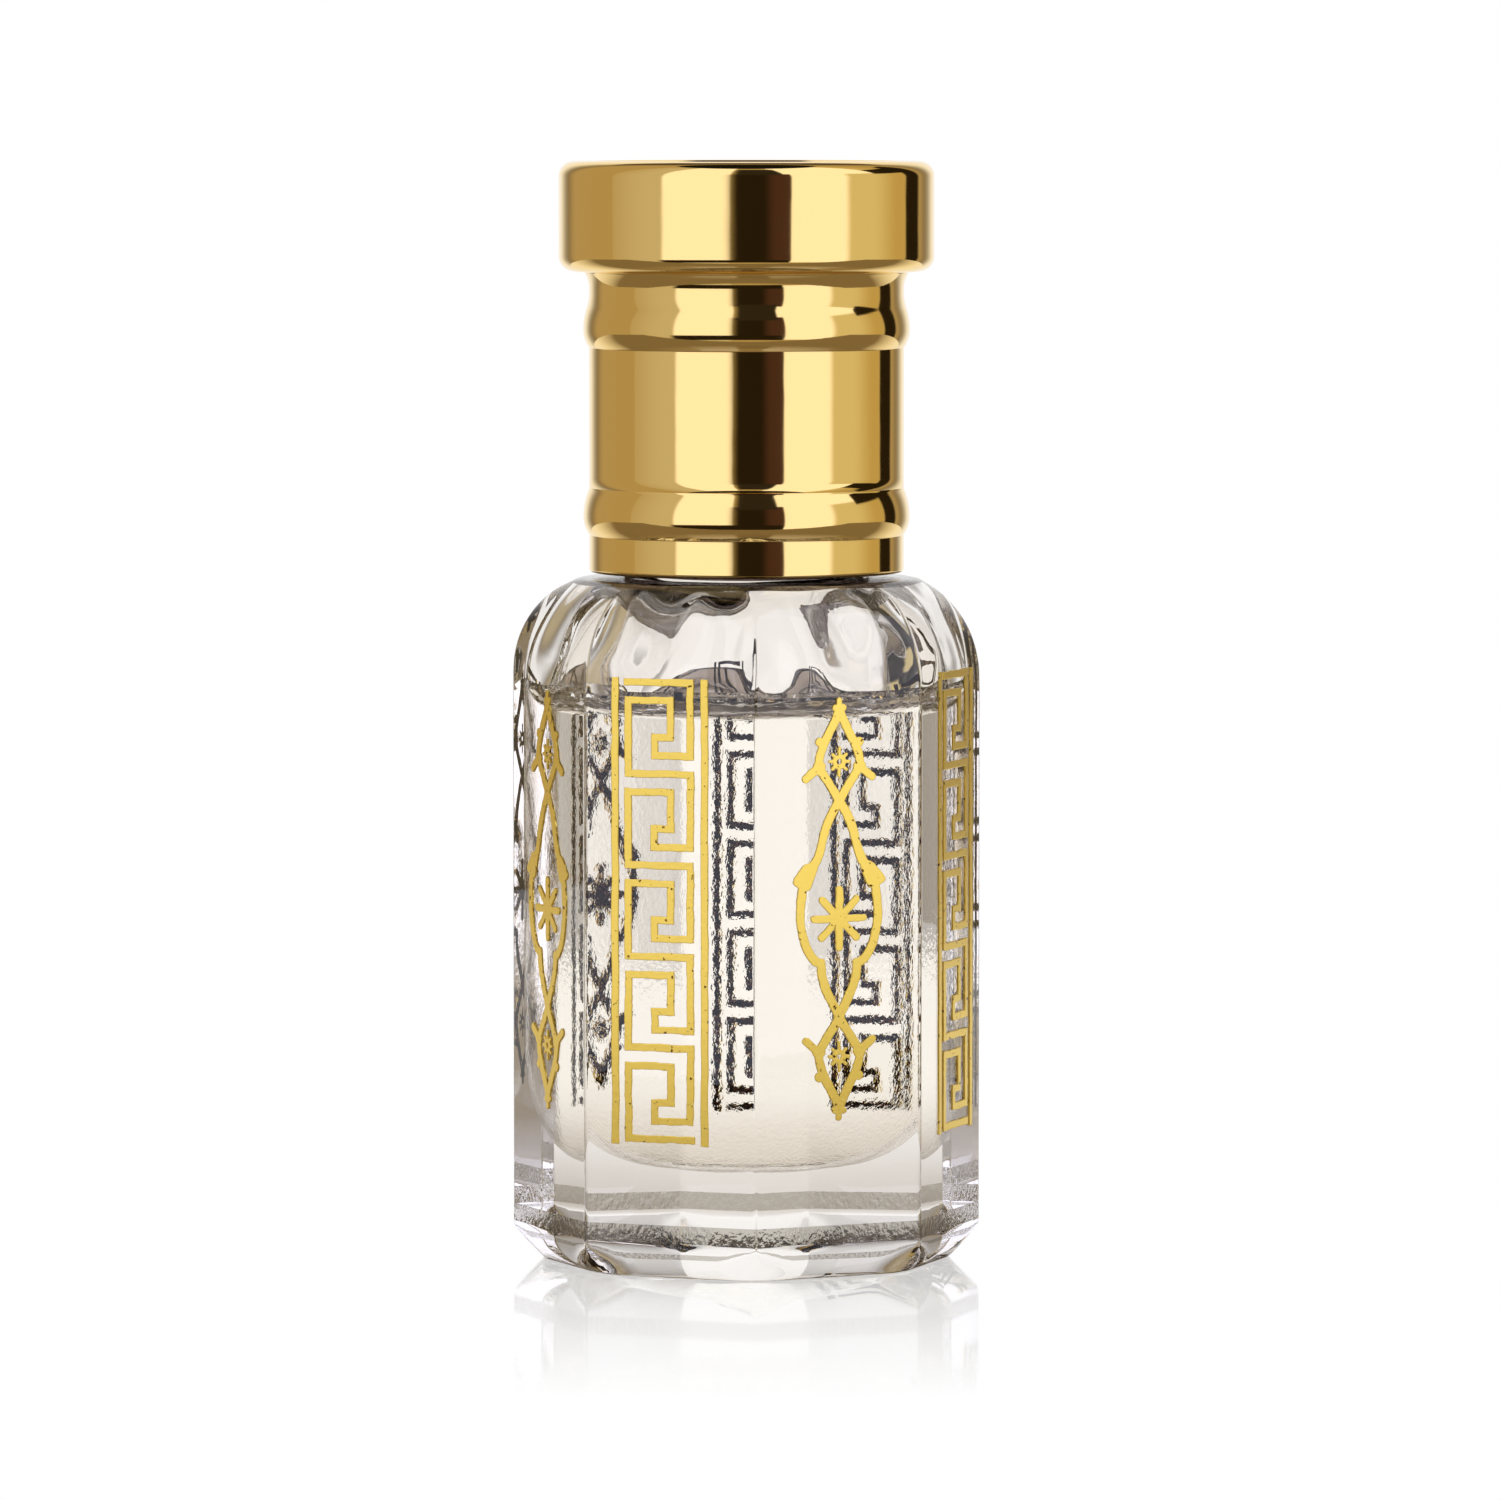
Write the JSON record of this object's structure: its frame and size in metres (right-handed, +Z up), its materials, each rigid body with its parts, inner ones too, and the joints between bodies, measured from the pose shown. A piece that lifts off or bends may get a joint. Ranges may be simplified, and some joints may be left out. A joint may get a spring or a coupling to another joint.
{
  "type": "perfume oil bottle",
  "caption": "Octagonal glass roll-on bottle of perfume oil with gold fret and arabesque printing and a tall beaded gold screw cap.",
  "frame": {"origin": "middle of the foot, on the surface the bottle stands on", "axes": "+Z up the bottle's axis towards the cap; a flat with the fret faces -Y"},
  "size_m": [0.0214, 0.0214, 0.0539],
  "materials": {
    "bottle_glass": "polished",
    "perfume_oil": "polished",
    "gold_ink": "gloss",
    "gold_anodised": "polished",
    "inner_cap_plastic": "satin",
    "housing_plastic": "satin",
    "liner_foam": "matte",
    "ball_steel": "polished"
  },
  "bodies": {
    "bottle": {"glass_bottle": "bottle_glass", "perfume_oil": "perfume_oil", "roller_housing": "housing_plastic", "key_print_front": "gold_ink", "key_print_right": "gold_ink", "key_print_back": "gold_ink", "key_print_left": "gold_ink", "ornament_print_front_right": "gold_ink", "ornament_print_back_right": "gold_ink", "ornament_print_back_left": "gold_ink", "ornament_print_front_left": "gold_ink"},
    "roller": {"roller_ball": "ball_steel"},
    "liner": {"sealing_liner": "liner_foam"},
    "cap": {"inner_cap": "inner_cap_plastic", "cap_skirt": "gold_anodised", "cap_collar": "gold_anodised"}
  },
  "joints": [
    {"name": "roller_ball_spin", "type": "hinge", "parent": "bottle", "child": "roller", "pos_m": [0, 0, 0.0457], "axis": [1, 0, 0], "continuous": true},
    {"name": "cap_rise", "type": "slide", "parent": "bottle", "child": "liner", "axis": [0, 0, 1], "range_m": [0, 0.01697]},
    {"name": "cap_turn", "type": "hinge", "parent": "liner", "child": "cap", "pos_m": [0, 0, 0.034], "axis": [0, 0, 1], "range_deg": [0, 2880]}
  ],
  "couplings": [
    {"joint": "cap_rise", "follows": "cap_turn", "m_per_rad": 0.00033741}
  ]
}
